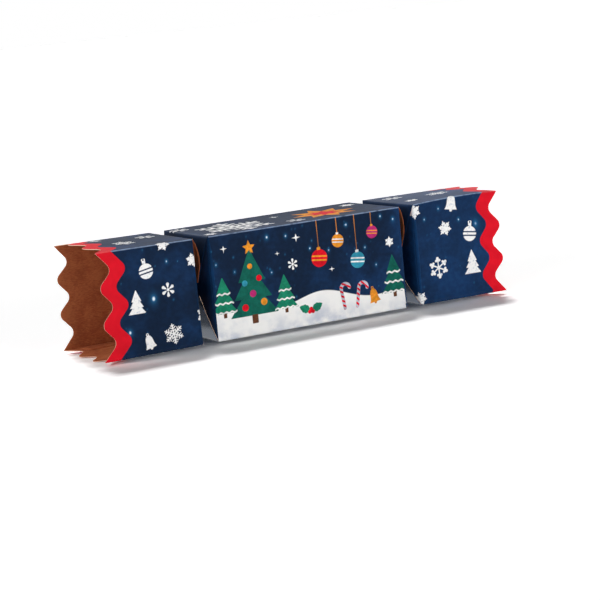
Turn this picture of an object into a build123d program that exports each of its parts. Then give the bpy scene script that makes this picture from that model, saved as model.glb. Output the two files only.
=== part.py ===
"""Christmas cracker folded from one sheet of kraft-backed board.

A square middle box and two open end tubes lie along X, with the front at -Y and the base on Z = 0.
Each neck is pinched inwards on its four sides by a V of two folds. Pulling an end flattens its four Vs.
"""

from build123d import *
from math import asin, atan2, degrees, hypot, sin, sqrt, tan
import os

# Driving dimensions, in millimetres

section = 65.0              # outside width and height of the square tube
centre_length = 134.0       # middle box, from fold to fold
end_length = 63.5           # end tube, from its neck fold to the peaks at its corners
neck_gap = 11.0             # space between two boxes while the neck is pinched
board = 0.4                 # thickness of the board
corner_radius = 0.9         # outside radius of the long corner folds

wave_count = 3              # waves on each side of a mouth
wave_depth = 9.8            # from peak to valley before rounding
wave_radius = 4.7           # rounding of the valleys and of the peaks between the corners

neck_opening = 8.2          # height left open between the top and bottom valleys of a neck
wide_fold_inset = 10.0      # how far the top and bottom folds draw in on each side at their valley
fold_clearance = 0.4        # between neighbouring folds of a neck
crease_clearance = 0.08     # between a crease line and the edge of a fold

flap_width = 11.0           # glued flap along the bottom back corner
flap_setback = 4.0          # flap end to a neck fold
flap_mouth_setback = 10.0   # flap end to the corner peak of a mouth
flap_taper = 4.0            # slant of the flap ends

# Derived sizes

half_section = section / 2
wave_pitch = section / wave_count
valley_depth = (section - neck_opening) / 2
crease_span = hypot(neck_gap / 2, valley_depth - board)
fold_length = sqrt(crease_span**2 - board**2)
fold_angle = atan2(valley_depth - board, neck_gap / 2) + asin(board / crease_span)

wide_fold_margin = corner_radius
wide_fold_slope = (wide_fold_inset - wide_fold_margin) / fold_length
narrow_fold_slope = sin(fold_angle)
narrow_fold_margin = board + board * tan(fold_angle) * narrow_fold_slope + fold_clearance

end_start = centre_length / 2 + neck_gap
neck_middle = centre_length / 2 + neck_gap / 2

# Sides of the tube, one quarter turn about the length after another, and those whose folds are wide
sides = ("top", "front", "bottom", "back")
wide_sides = ("top", "bottom")


def panel_profile():
    """Cross-section of the top panel, with half of each rounded corner, mitred at 45 degrees."""
    outside = RectangleRounded(section, section, corner_radius)
    inside = RectangleRounded(section - 2 * board, section - 2 * board, corner_radius - board)
    quarter = Polygon((0, 0), (section, section), (-section, section), align=None)
    return Plane.YZ * ((outside - inside) & quarter)


def mouth_outline():
    """Flat outline of an end panel: straight at the neck fold, wavy at the mouth, sharp at the corners."""
    wave = []
    for step in range(2 * wave_count + 1):
        along = end_length if step % 2 == 0 else end_length - wave_depth
        wave.append((along, step * wave_pitch / 2 - half_section))
    edge = FilletPolyline(*wave, radius=wave_radius)
    sides_and_fold = Polyline(wave[-1], (0, half_section), (0, -half_section), wave[0])
    return make_face(edge + sides_and_fold)


def centre_panel():
    """Top panel of the middle box, centred on the origin."""
    return Pos(-centre_length / 2, 0, 0) * extrude(panel_profile(), centre_length)


def end_panel():
    """Top panel of the right end tube."""
    plain = extrude(panel_profile(), end_length)
    cutter = extrude(mouth_outline(), section)
    return Pos(end_start, 0, 0) * (plain & cutter)


def inner_fold(wide):
    """Top fold of the right neck on the middle box, made flat and then turned down about its crease.

    The crease with the box lies on the kraft face, and the valley crease on the printed face.
    """
    margin = wide_fold_margin if wide else narrow_fold_margin
    slope = wide_fold_slope if wide else narrow_fold_slope
    start = crease_clearance
    end = fold_length - crease_clearance
    start_half = half_section - margin - slope * start
    end_half = half_section - margin - slope * end
    outline = Polygon((start, -start_half), (end, -end_half), (end, end_half), (start, start_half), align=None)
    plate = extrude(Pos(0, 0, half_section - board) * outline, board)
    crease = Axis((0, 0, half_section - board), (0, 1, 0))
    return Pos(centre_length / 2, 0, 0) * plate.rotate(crease, degrees(fold_angle))


def outer_fold(wide):
    """Top fold of the right neck on the end tube, the mirror image of the inner one."""
    return mirror(inner_fold(wide), about=Plane.YZ.offset(neck_middle))


def seam_flap(start, end, start_setback, end_setback):
    """Flap of the back panel, folded in and glued to the inside of the bottom panel."""
    root = half_section - corner_radius
    tip = root - flap_width
    first = start + start_setback
    last = end - end_setback
    outline = Polygon((first, root), (first + flap_taper, tip), (last - flap_taper, tip), (last, root), align=None)
    return extrude(Pos(0, 0, board - half_section) * outline, board)


def turned(solid, side):
    """A top piece turned about the length to another side."""
    return solid.rotate(Axis.X, sides.index(side) * 360 / len(sides))


def left_of(solid):
    """The left twin of a piece made on the right."""
    return mirror(solid, about=Plane.YZ)


def all_pieces():
    """Every piece by its node name, centred on the length axis of the tube."""
    pieces = {}
    for side in sides:
        wide = side in wide_sides
        pieces[f"centre_{side}_panel"] = turned(centre_panel(), side)
        pieces[f"right_end_{side}_panel"] = turned(end_panel(), side)
        pieces[f"right_neck_{side}_inner_fold"] = turned(inner_fold(wide), side)
        pieces[f"right_neck_{side}_outer_fold"] = turned(outer_fold(wide), side)
    mouth = end_start + end_length
    pieces["centre_seam_flap"] = seam_flap(-centre_length / 2, centre_length / 2, flap_setback, flap_setback)
    pieces["right_end_seam_flap"] = seam_flap(end_start, mouth, flap_setback, flap_mouth_setback)
    for name in list(pieces):
        if name.startswith("right_"):
            pieces[name.replace("right_", "left_", 1)] = left_of(pieces[name])
    return pieces


def main():
    """Write one STEP file for each piece, with the base of the cracker on Z = 0."""
    os.makedirs("parts", exist_ok=True)
    for name, solid in all_pieces().items():
        export_step(Pos(0, 0, half_section) * solid, f"parts/{name}.step")
    print(f"fold length {fold_length:.3f} mm, fold angle {degrees(fold_angle):.3f} degrees")
    print(f"valley depth {valley_depth:.3f} mm, narrow fold margin {narrow_fold_margin:.3f} mm")


main()
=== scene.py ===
"""Christmas cracker of folded printed board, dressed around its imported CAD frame.

The board is one printed sheet wrapped round a square tube: a middle box, two pinched necks and two
wavy-mouthed ends. Print is laid out on the flat sheet in millimetres: x along the cracker, q round it
from the top back corner over the top, front, bottom and back sides.
"""

from collections import namedtuple
from functools import partial
from math import asin, atan2, cos, hypot, pi, radians, sin, sqrt, tan

import bpy
import numpy as np
from bpy.props import FloatProperty, FloatVectorProperty, PointerProperty
from bpy.types import Operator, Panel, PropertyGroup
from mathutils import Matrix, Vector


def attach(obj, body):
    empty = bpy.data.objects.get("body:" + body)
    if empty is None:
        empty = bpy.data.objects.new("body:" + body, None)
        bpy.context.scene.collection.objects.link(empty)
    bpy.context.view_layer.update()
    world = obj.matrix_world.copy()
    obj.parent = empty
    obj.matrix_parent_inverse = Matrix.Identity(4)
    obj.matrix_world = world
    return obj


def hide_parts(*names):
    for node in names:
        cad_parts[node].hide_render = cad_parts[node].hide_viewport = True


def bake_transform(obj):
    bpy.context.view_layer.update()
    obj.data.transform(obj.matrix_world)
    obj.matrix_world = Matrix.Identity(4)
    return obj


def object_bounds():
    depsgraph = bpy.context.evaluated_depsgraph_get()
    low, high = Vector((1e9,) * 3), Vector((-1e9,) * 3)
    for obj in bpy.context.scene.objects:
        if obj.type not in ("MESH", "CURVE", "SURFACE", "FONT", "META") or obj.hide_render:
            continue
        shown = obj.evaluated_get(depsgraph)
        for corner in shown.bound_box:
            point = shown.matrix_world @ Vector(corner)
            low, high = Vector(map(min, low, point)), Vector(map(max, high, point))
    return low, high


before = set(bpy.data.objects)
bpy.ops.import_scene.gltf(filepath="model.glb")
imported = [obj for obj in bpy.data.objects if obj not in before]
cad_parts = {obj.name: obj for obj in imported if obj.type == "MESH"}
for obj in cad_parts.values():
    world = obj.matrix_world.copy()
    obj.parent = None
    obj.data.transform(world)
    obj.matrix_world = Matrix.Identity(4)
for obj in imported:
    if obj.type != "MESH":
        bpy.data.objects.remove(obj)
cad_box = [[float(value) for value in corner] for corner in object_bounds()]

bl_info = {
    "name": "Christmas Cracker",
    "version": (1, 0, 0),
    "blender": (4, 5, 0),
    "location": "View3D > Sidebar > Cracker",
    "description": "Builds the printed board, neck folds and stage of a Christmas cracker",
    "category": "Object",
}

MM = 0.001
SIDES = ("top", "front", "bottom", "back")
WIDE_SIDES = ("top", "bottom")
HANDS = ("left", "right")
SECTIONS = ("left_end", "centre", "right_end")
CORNER_STEPS = 5            # rows of faces on half of a rounded corner
BEND_STEPS = 12             # rows of faces round the bend of a neck crease
FAR = 50.0                  # distance given to print that a panel doesn't carry, in millimetres
PRINT_FACE, KRAFT_FACE, CUT_FACE = 0, 1, 2


def linear(red, green, blue):
    """Linear colour with alpha from 0 to 255 screen values: the usual screen curve undone."""
    screen = np.array((red, green, blue)) / 255
    low = screen / 12.92
    high = ((screen + 0.055) / 1.055) ** 2.4
    return (*np.where(screen < 0.04045, low, high).tolist(), 1.0)


def number(label, description, value, unit="NONE"):
    """A plain number property."""
    return FloatProperty(name=label, description=description, default=value, unit=unit)


def length(label, description, millimetres):
    """A size property, given in millimetres and kept in metres."""
    default = millimetres * MM
    return FloatProperty(name=label, description=description, default=default, unit="LENGTH", precision=5)


def colour(label, description, *screen):
    """A colour property, given as it looks on screen."""
    return FloatVectorProperty(
        name=label, description=description, subtype="COLOR", size=4, min=0, max=1, default=linear(*screen)
    )


class CrackerSizes(PropertyGroup):
    """Sizes of the board, as in the CAD frame, and how far it is bowed."""

    section: length("Section", "Outside width and height of the tube", (cad_box[1][2] - cad_box[0][2]) / MM)
    centre_length: length("Middle length", "Middle box from fold to fold", 134.0)
    end_length: length("End length", "End tube from neck fold to corner peaks", 63.5)
    neck_gap: length("Neck gap", "Space between two boxes at a pinched neck", 11.0)
    board: length("Board", "Thickness of the board", 0.4)
    corner_radius: length("Corner radius", "Outside radius of the long corner folds", 0.9)
    wave_depth: length("Wave depth", "Peak to valley of the wavy mouth before rounding", 9.8)
    wave_radius: length("Wave radius", "Rounding of the wavy mouth", 4.7)
    neck_opening: length("Neck opening", "Height left open between the top and bottom valleys", 8.2)
    wide_fold_inset: length("Wide fold inset", "How far top and bottom folds draw in at the valley", 10.0)
    wide_fold_margin: length("Wide fold margin", "How far top and bottom folds draw in at the crease", 0.3)
    narrow_fold_margin: length("Narrow fold margin", "How far front and back folds draw in there", 0.6)
    fold_clearance: length("Fold clearance", "Between neighbouring folds of a neck", 0.4)
    crease_clearance: length("Crease clearance", "Between a valley crease and the edge of a fold", 0.08)
    flap_width: length("Flap width", "Glued flap along the bottom back corner", 11.0)
    flap_setback: length("Flap setback", "Flap end to a neck fold", 4.0)
    flap_mouth_setback: length("Flap mouth setback", "Flap end to the corner peak of a mouth", 10.0)
    flap_taper: length("Flap taper", "Slant of the flap ends", 4.0)
    fold_bow: length("Fold bow", "How far a loose edge of a top fold curls into the gap", 3.0)
    bend_radius: length("Bend radius", "Rounding of the front and back creases on the right of a gap", 2.0)
    sharp_bend_radius: length("Sharp bend radius", "Rounding of those on the left of a gap", 1.2)
    wide_bend_radius: length("Wide bend radius", "Rounding of the top and bottom neck creases", 0.9)
    band_width: length("Band width", "Red band along the wavy mouth", 10.1)
    cell: length("Cell", "Size of the mesh cells that carry the print", 0.5)


class CrackerColours(PropertyGroup):
    """Inks and board colours."""

    night: colour("Night", "Deep blue ground of the print", 9, 30, 55)
    dusk: colour("Dusk", "Lighter blue clouds in the ground", 20, 55, 98)
    glow: colour("Glow", "Soft lights in the night", 36, 108, 158)
    gleam: colour("Gleam", "Bright middle of the soft lights", 228, 243, 250)
    red: colour("Red", "Band along the mouth and red motifs", 226, 16, 38)
    white: colour("White", "Snowflakes and snow", 246, 245, 243)
    shade: colour("Snow shade", "Cool hollows in the snow", 192, 198, 212)
    green: colour("Green", "Fir trees", 14, 98, 84)
    leaf: colour("Leaf", "Lighter green", 26, 132, 100)
    gold: colour("Gold", "Stars, bells and baubles", 240, 152, 44)
    magenta: colour("Magenta", "Baubles", 190, 44, 116)
    sea: colour("Sea blue", "Baubles", 52, 150, 176)
    bark: colour("Bark", "Tree trunks", 104, 62, 40)
    kraft: colour("Kraft", "Uncoated inside of the board", 194, 112, 70)
    kraft_dark: colour("Dark kraft", "Fibres in the uncoated inside", 164, 88, 53)
    edge: colour("Cut edge", "Cut edge of the board", 246, 206, 180)
    # The two worn fold colours are partly real worn ink and partly a painted highlight along the rounded top
    # front folds
    wear: colour("Worn fold", "Blue ink worn along the folds", 168, 192, 228)
    worn_red: colour("Worn red", "Red ink worn along the folds", 238, 98, 102)


class CrackerStage(PropertyGroup):
    """Camera and light."""

    azimuth: number("Azimuth", "Turn of the camera round the object, in degrees", -27.27)
    elevation: number("Elevation", "Height angle of the camera, in degrees", 8.55)
    roll: number("Roll", "Turn of the picture, in degrees", -5.54)
    distance: length("Distance", "Camera to its target", 1277.6)
    target_x: length("Target X", "Target of the camera along the cracker", -9.21)
    target_z: length("Target Z", "Height of the camera's target", 17.0)
    lens: number("Lens", "Focal length in millimetres", 123.6)
    key: number("Key", "Strength of the light from behind and above", 2.05)
    fill: number("Fill", "Strength of the light from the front right", 2.35)
    side: number("Side", "Strength of the light from the left", 0.8)
    mouth: number("Mouth", "Power of the lamp into the left end", 17.0, "POWER")
    sky: number("Sky", "Strength of the light from all round", 0.06)


# Sizes worked out from the properties


class Tube:
    """Sizes in metres: the size properties, and what follows from them by the formulas of the CAD source."""

    def __init__(self, sizes):
        for name in CrackerSizes.__annotations__:
            setattr(self, name, getattr(sizes, name))
        self.half = self.section / 2
        self.neck = self.centre_length / 2
        self.neck_middle = self.neck + self.neck_gap / 2
        self.end_start = self.neck + self.neck_gap
        self.mouth = self.end_start + self.end_length
        depth = (self.section - self.neck_opening) / 2 - self.board
        span = hypot(self.neck_gap / 2, depth)
        self.fold_length = sqrt(span**2 - self.board**2)
        self.fold_angle = atan2(depth, self.neck_gap / 2) + asin(self.board / span)
        mitre = sin(self.fold_angle)
        seat = self.board * (1 + tan(self.fold_angle) * mitre) + self.fold_clearance
        self.inset = {True: self.wide_fold_inset, False: seat + mitre * self.fold_length}
        self.margin = {True: self.wide_fold_margin, False: self.narrow_fold_margin}

    def fold_reach(self, side, along):
        """Half width of a fold: from its margin at the crease down evenly to its inset at the valley."""
        wide = side in WIDE_SIDES
        slope = (self.inset[wide] - self.margin[wide]) / self.fold_length
        return self.half - self.margin[wide] - slope * along

    def crease_radius(self, side, near, s):
        """Rounding of a neck crease: full in its middle, the board's own at its ends, by a fourth power."""
        share = np.clip(np.abs(s) / self.fold_reach(side, 0), 0, 1)
        narrow = self.sharp_bend_radius if near else self.bend_radius
        full = self.wide_bend_radius if side in WIDE_SIDES else narrow
        return self.board + (full - self.board) * (1 - share**4)

    def crease_trim(self, side, near, s):
        """How much of a panel, and of its fold, the rounded crease takes up: the arc's tangent length."""
        return (self.crease_radius(side, near, s) - self.board) * tan(self.fold_angle / 2)


def place(side, x, s, n, tube):
    """Points on a side of the tube: s across and n outwards, turned a quarter turn about X for each side."""
    turn = SIDES.index(side) * pi / 2
    y = s * cos(turn) - n * sin(turn)
    z = s * sin(turn) + n * cos(turn) + tube.half
    return np.stack(np.broadcast_arrays(x, y, z), axis=-1)


def wave_drop(s, tube):
    """Depth of the wavy mouth below its corner peaks.

    A zigzag of three waves across the side, whose valleys and middle peaks are arcs tangent to its slopes.
    """
    pitch = tube.section / 3
    tilt = atan2(tube.wave_depth, pitch / 2)
    radius = tube.wave_radius
    reach = radius * sin(tilt)
    from_peak = np.abs((s + tube.half + pitch / 2) % pitch - pitch / 2)
    from_valley = pitch / 2 - from_peak
    middle_peak = np.abs(s) < tube.half - pitch / 2
    drop = tube.wave_depth / (pitch / 2) * from_peak
    peak_arc = radius / cos(tilt) - np.sqrt(np.maximum(radius**2 - from_peak**2, 0))
    valley_arc = tube.wave_depth - radius / cos(tilt) + np.sqrt(np.maximum(radius**2 - from_valley**2, 0))
    drop = np.where((from_peak < reach) & middle_peak, peak_arc, drop)
    return np.where(from_valley < reach, valley_arc, drop)


def cross_profile(tube, cell):
    """Outside and inside of a side's cross-section: a flat with an eighth of a circle at each corner."""
    radius = tube.corner_radius
    flat = tube.half - radius
    count = max(2, round(2 * flat / cell))
    turn = np.linspace(0, pi / 4, CORNER_STEPS + 1)[1:]
    angle = np.concatenate((-turn[::-1], np.zeros(count + 1), turn))
    ends = np.full(CORNER_STEPS, flat)
    centre = np.concatenate((-ends, np.linspace(-flat, flat, count + 1), ends))
    return [(centre + r * np.sin(angle), flat + r * np.cos(angle)) for r in (radius, radius - tube.board)]


# Meshes


def slab(outer, inner, rim_faces, faces=(PRINT_FACE, KRAFT_FACE), flip=False):
    """Closed shell between two grids of points: outer grid, reversed inner grid and a wall round the edge.

    rim_faces gives the material of the walls at the start of v, end of u, end of v and start of u.
    """
    rows, columns = outer.shape[:2]
    index = np.arange(rows * columns).reshape(rows, columns)
    quad = np.stack((index[:-1, :-1], index[1:, :-1], index[1:, 1:], index[:-1, 1:]), axis=-1).reshape(-1, 4)
    runs = (index[:-1, 0], index[-1, :-1], index[:0:-1, -1], index[0, :0:-1])
    loop = np.concatenate(runs)
    after = np.roll(loop, -1)
    total = rows * columns
    wall = np.stack((loop, loop + total, after + total, after), axis=-1)
    quads = np.concatenate((quad, quad[:, ::-1] + total, wall))
    if flip:
        quads = quads[:, ::-1]
    rim = np.concatenate([np.full(len(run), face) for run, face in zip(runs, rim_faces)])
    material = np.concatenate((np.full(len(quad), faces[0]), np.full(len(quad), faces[1]), rim))
    smooth = np.concatenate((np.ones(2 * len(quad), bool), np.zeros(len(wall), bool)))
    points = np.concatenate((outer.reshape(-1, 3), inner.reshape(-1, 3)))
    return points, quads, material, smooth


def add_piece(name, shell, materials):
    """Object at the origin from a shell of points and four-sided faces."""
    points, quads, material, smooth = shell
    mesh = bpy.data.meshes.new(name)
    mesh.vertices.add(len(points))
    mesh.vertices.foreach_set("co", points.astype(np.float32).ravel())
    mesh.loops.add(quads.size)
    mesh.loops.foreach_set("vertex_index", quads.astype(np.int32).ravel())
    mesh.polygons.add(len(quads))
    mesh.polygons.foreach_set("loop_start", np.arange(0, quads.size, 4, dtype=np.int32))
    for item in materials:
        mesh.materials.append(item)
    mesh.polygons.foreach_set("material_index", material.astype(np.int32))
    mesh.polygons.foreach_set("use_smooth", smooth)
    mesh.update(calc_edges=True)
    mesh.validate()
    piece = bpy.data.objects.new(name, mesh)
    bpy.context.scene.collection.objects.link(piece)
    return piece


def add_layer(piece, name, values, rest=FAR):
    """Number or colour for each point of the printed face, and one rest value for the other points."""
    kind, entry, width = ("FLOAT_COLOR", "color", 4) if values.ndim == 3 else ("FLOAT", "value", 1)
    full = np.full((len(piece.data.vertices), width), rest, np.float32)
    full[: values.size // width] = values.reshape(-1, width)
    piece.data.attributes.new(name, kind, "POINT").data.foreach_set(entry, full.ravel())


# Outlines of the motifs at size one: distance, negative inside, with u to the right and v up

FIR_TIERS = ((0.1, 0.55, 0.36), (0.33, 0.76, 0.28), (0.56, 1.0, 0.2))      # base, top and half width


def segment(u, v, start, end):
    """Distance to the straight line between two points."""
    du, dv = end[0] - start[0], end[1] - start[1]
    along = np.clip(((u - start[0]) * du + (v - start[1]) * dv) / (du * du + dv * dv), 0, 1)
    return np.hypot(u - start[0] - along * du, v - start[1] - along * dv)


def disc(u, v, radius=1, at=(0, 0)):
    """Distance to a circle."""
    return np.hypot(u - at[0], v - at[1]) - radius


def block(u, v, half_width, half_height, at):
    """Distance to an upright rectangle."""
    return np.maximum(np.abs(u - at[0]) - half_width, np.abs(v - at[1]) - half_height)


def arms(u, v, count=6):
    """Coordinates along and beside the nearest of equal arms, one of which points up."""
    step = pi / count
    radius = np.hypot(u, v)
    angle = np.abs((np.arctan2(u, v) + step) % (2 * step) - step)
    return radius * np.cos(angle), radius * np.sin(angle)


def star(u, v, points=5, inner=0.45):
    """Star of straight edges from tips at one to hollows at inner."""
    a, b = arms(u, v, points)
    du, dv = inner * cos(pi / points) - 1, inner * sin(pi / points)
    return ((a - 1) * dv - b * du) / hypot(du, dv)


sparkle = partial(star, points=4, inner=0.24)
rosette = partial(star, points=8, inner=0.56)


def branches(a, b, rows, width):
    """Pairs of side branches at 60 degrees, given by their place along the arm and their length."""
    lines = [segment(a, b, (start, 0), (start + reach / 2, reach * sqrt(3) / 2)) for start, reach in rows]
    return np.minimum.reduce(lines) - width


def fern_flake(u, v):
    """Snowflake with three pairs of side branches on each arm."""
    a, b = arms(u, v)
    arm = segment(a, b, (0, 0), (1, 0)) - 0.055
    return np.minimum(arm, branches(a, b, ((0.28, 0.3), (0.52, 0.34), (0.76, 0.2)), 0.05))


def petal_flake(u, v):
    """Snowflake with six drop-shaped petals and a small middle."""
    a, b = arms(u, v)
    along = np.clip((a - 0.3) / 0.5, 0, 1)
    petal = segment(a, b, (0.3, 0), (0.8, 0)) - (0.06 + 0.18 * along)
    return np.minimum(petal, disc(a, b, 0.2))


def star_flake(u, v):
    """Six-pointed snowflake with short side tips and small holes."""
    a, b = arms(u, v)
    body = np.minimum(star(u, v, points=6, inner=0.48), branches(a, b, ((0.5, 0.24),), 0.07))
    return np.maximum(body, -disc(a, b, 0.045, (0.42, 0.07)))


def lobed_flake(u, v):
    """Snowflake whose arms end in three round lobes."""
    a, b = arms(u, v)
    arm = segment(a, b, (0, 0), (0.9, 0)) - 0.06
    lobes = disc(a, b, 0.14, (0.86, 0)), disc(a, b, 0.12, (0.66, 0.17))
    return np.minimum.reduce([arm, *lobes, disc(a, b, 0.15)])


def fir(u, v):
    """Fir of three tiers that stands on its base line: triangles between two heights."""
    tiers = []
    for base, top, wide in FIR_TIERS:
        slant = (np.abs(u) * (top - base) - (top - v) * wide) / hypot(top - base, wide)
        tiers.append(np.maximum(base - v, slant))
    return np.minimum.reduce(tiers)


def fir_snow(u, v):
    """Snow along the lower edges of the tiers of a fir, dripping in small waves."""
    drip = 0.02 + 0.015 * np.sin(u * 42)
    rows = []
    for base, _, wide in FIR_TIERS:
        rows.append(np.maximum(np.abs(v - base - drip) - 0.022, np.abs(u) - 0.93 * wide))
    return np.minimum.reduce(rows)


def trunk(u, v):
    """Trunk below the tiers of a fir."""
    return block(u, v, 0.045, 0.06, (0, 0.05))


def bell(u, v):
    """Bell with a flared lip, a clapper and a loop."""
    rise = np.clip((v + 1) / 2, 0, 1)
    crown = np.sqrt(np.clip(1 - (np.maximum(rise - 0.5, 0) / 0.5) ** 2, 0, 1))
    wide = 0.6 * crown + 0.36 * (1 - rise) ** 5
    body = np.maximum(0.85 * (np.abs(u) - wide), np.abs(v) - 1)
    loop = np.abs(disc(u, v, 0.17, (0, 1.1))) - 0.06
    return np.minimum.reduce([body, disc(u, v, 0.2, (0, -1.08)), loop])


def leaf(u, v):
    """Pointed leaf along u with a scalloped edge."""
    along = np.clip(u, 0, 1)
    wide = (0.26 + 0.05 * np.abs(np.sin(4 * pi * along))) * np.sin(pi * along)
    return np.maximum.reduce([0.8 * (np.abs(v) - wide), -u, u - 1])


def holly(u, v):
    """Two leaves that spread from one point."""
    turns = radians(25), radians(155)
    return np.minimum(*(leaf(u * cos(turn) + v * sin(turn), v * cos(turn) - u * sin(turn)) for turn in turns))


def berries(u, v):
    """Three round berries."""
    return np.minimum.reduce([disc(u, v, 0.14, at) for at in ((-0.13, -0.04), (0.13, -0.04), (0, 0.16))])


def cane(u, v):
    """Walking-stick sweet standing on its foot, with its hook to the right."""
    hook, neck = 0.2, 0.8
    bend = np.abs(np.hypot(u - hook, v - neck) - hook)
    bend = np.where(v > neck, bend, np.hypot(u - 2 * hook, v - neck))
    return np.minimum(segment(u, v, (0, 0), (0, neck)), bend) - 0.075


def cane_stripes(u, v):
    """Slanted stripes inside the sweet's outline."""
    pitch = 0.2
    stripe = np.abs((v + 0.7 * u) % pitch - pitch / 2) - 0.26 * pitch
    return np.maximum(cane(u, v), stripe)


def bauble_band(u, v):
    """Two bands round a bauble and its cap."""
    bands = np.abs(np.abs(v + 0.12 * u) - 0.22) - 0.09
    return np.minimum(np.maximum(disc(u, v, 0.98), bands), block(u, v, 0.22, 0.16, (0, 1.08)))


def white_bauble(u, v):
    """Bauble in one ink, with two bare bands, a cap and a loop."""
    ball = np.maximum(disc(u, v), 0.09 - np.abs(np.abs(v) - 0.24))
    loop = np.abs(disc(u, v, 0.2, (0, 1.52))) - 0.07
    return np.minimum.reduce([ball, block(u, v, 0.24, 0.14, (0, 1.2)), loop])


def thread(u, v, width):
    """Thin thread hanging straight down from its upper end."""
    return segment(u, v, (0, 0), (0, -1)) - width


# Print of the sheet, by section: motif, x, q, size, turn in degrees

FRONT_TOP = 65.0            # q of the top front corner
FRONT_FOOT = 130.0          # q of the bottom front corner
BACK_FOOT = 195.0           # q of the bottom back corner
SHEET = 260.0               # once round the tube


def front(z):
    """Place round the sheet of a height on the front."""
    return FRONT_FOOT - z


def back(z):
    """Place round the sheet of a height on the back."""
    return BACK_FOOT + z


WHITE_PRINT = {
    "left_end": [
        (petal_flake, -97, front(37), 4.2, 0),
        (fern_flake, -96, front(10), 6.2, 8),
        (star_flake, -79.1, front(52.5), 4.8, 12),
        (star_flake, -97.7, front(64.8), 4.8, 20),
        (lobed_flake, -74.4, front(18.6), 5.6, 0),
        (fir, -118, front(24), 16, 0),
        (white_bauble, -110, front(50), 4.6, 10),
        (bell, -112, front(8), 4, 14),
        (fern_flake, -112, 40, 7, 0),
        (petal_flake, -90, 22, 6, 10),
        (star_flake, -119, 12, 5, 0),
    ],
    "right_end": [
        (star_flake, 78.0, front(60.4), 5.2, 6),
        (star_flake, 99.4, front(46), 5.2, 16),
        (lobed_flake, 92.3, front(21.9), 7, 4),
        (star_flake, 77.7, front(4.3), 4.8, 20),
        (fir, 117, front(13), 17, 0),
        (white_bauble, 117, front(40), 4.8, -8),
        (bell, 106, front(62), 5, -10),
        (fern_flake, 112, 38, 7.5, 0),
        (petal_flake, 90, 18, 6.5, 0),
        (star_flake, 88, 46, 5, 0),
    ],
    "centre": [
        (sparkle, -8, front(56), 3.2, 0),
        (sparkle, -58, front(56), 2.6, 0),
        (petal_flake, -12, front(40), 3.4, 0),
        (star_flake, 58, front(44), 3.6, 0),
        (sparkle, 15, front(33), 2, 0),
        (sparkle, -22, front(48), 1.8, 0),
        (fern_flake, -34, 34, 24, 0),
        (sparkle, 3, 16, 4, 0),
        (petal_flake, 2, 48, 6, 0),
        (star_flake, 58, 14, 6, 0),
        (star_flake, -61, 55, 5, 0),
        (petal_flake, -62, 12, 6, 0),
    ],
}

# Rows of white motifs on the bottom and back of every section, in millimetres
ROW_MOTIFS = (fern_flake, bell, petal_flake, fir, star_flake, white_bauble, lobed_flake)
ROW_SIZES = {fir: 11, white_bauble: 3.6}
ROW_SIZE = 4.6              # size of the others
ROW_PLACES = (14, 33, 52)   # of the rows of a side, from its first corner on
ROW_STEP = 19.0             # from motif to motif along a row
ROW_SHIFT = 4.0             # how far odd and even rows are staggered, each way
ROW_MARGIN = 8.0            # room left free at the ends of a row

# Scene on the middle box. Firs: x, q, size, turn in degrees, ink, and whether snow lies on them
FIRS = [
    (-41, front(8), 46, 0, "green", False),
    (-61, front(14), 25, 0, "leaf", True),
    (-19, front(11), 24, 0, "leaf", True),
    (59, front(9), 27, 0, "green", True),
    (-30, back(10), 40, 180, "green", False),
    (-50, back(12), 28, 180, "leaf", True),
    (34, back(9), 34, 180, "green", True),
    (54, back(12), 24, 180, "leaf", False),
]
# Hanging baubles: x, q, size, ink, ink of their bands, length of their threads
BAUBLES = [
    (7, front(41), 5.6, "red", "gold", 17.5),
    (21, front(50), 4.2, "gold", "white", 10),
    (34, front(36), 5.2, "sea", "white", 23),
    (46, front(52), 4, "magenta", "gold", 8.5),
]
# Small balls on the tallest fir: x, height, size, ink
BALLS = [
    (-47, 18, 2.2, "red"), (-34, 20, 2.2, "gold"), (-41, 26, 2.2, "magenta"),
    (-46, 33, 1.9, "sea"), (-36, 35, 1.9, "red"), (-41.5, 43, 1.7, "gold"),
]
CANES = ((22, 8), (31, -10))        # x and turn in degrees
THREAD_WIDTH = 0.22         # half the thickness of a thread, in millimetres


def scene_motifs():
    """Motifs of the scene on the middle box, and details that lie on them: motif, x, q, size, turn, ink."""
    motifs = [
        (holly, -2, front(9), 9, 0, "leaf"),
        (bell, 43.5, front(12), 4.4, 10, "gold"),
        (star, -41, front(54.5), 4.6, 0, "gold"),
        (rosette, 30, 33, 22, 0, "gold"),
        (bell, 4, back(17), 6, 180, "gold"),
    ]
    details = [(berries, -2, front(9), 9, 0, "red"), (rosette, 30, 33, 12, 22.5, "red")]
    for *at, ink, snowy in FIRS:
        motifs.append((fir, *at, ink))
        details.append((trunk, *at, "bark"))
        if snowy:
            details.append((fir_snow, *at, "white"))
    for x, q, size, ink, band, drop in BAUBLES:
        motifs.append((disc, x, q, size, 0, ink))
        details.append((bauble_band, x, q, size, 0, band))
        details.append((partial(thread, width=THREAD_WIDTH / drop), x, FRONT_TOP, drop, 0, "gold"))
    for x, height, size, ink in BALLS:
        details.append((disc, x, front(height), size, 0, ink))
    for x, turn in CANES:
        motifs.append((cane, x, front(7), 15, turn, "shade"))
        details.append((cane_stripes, x, front(7), 15, turn, "red"))
    return motifs, details


MOTIFS, DETAILS = scene_motifs()

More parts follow.
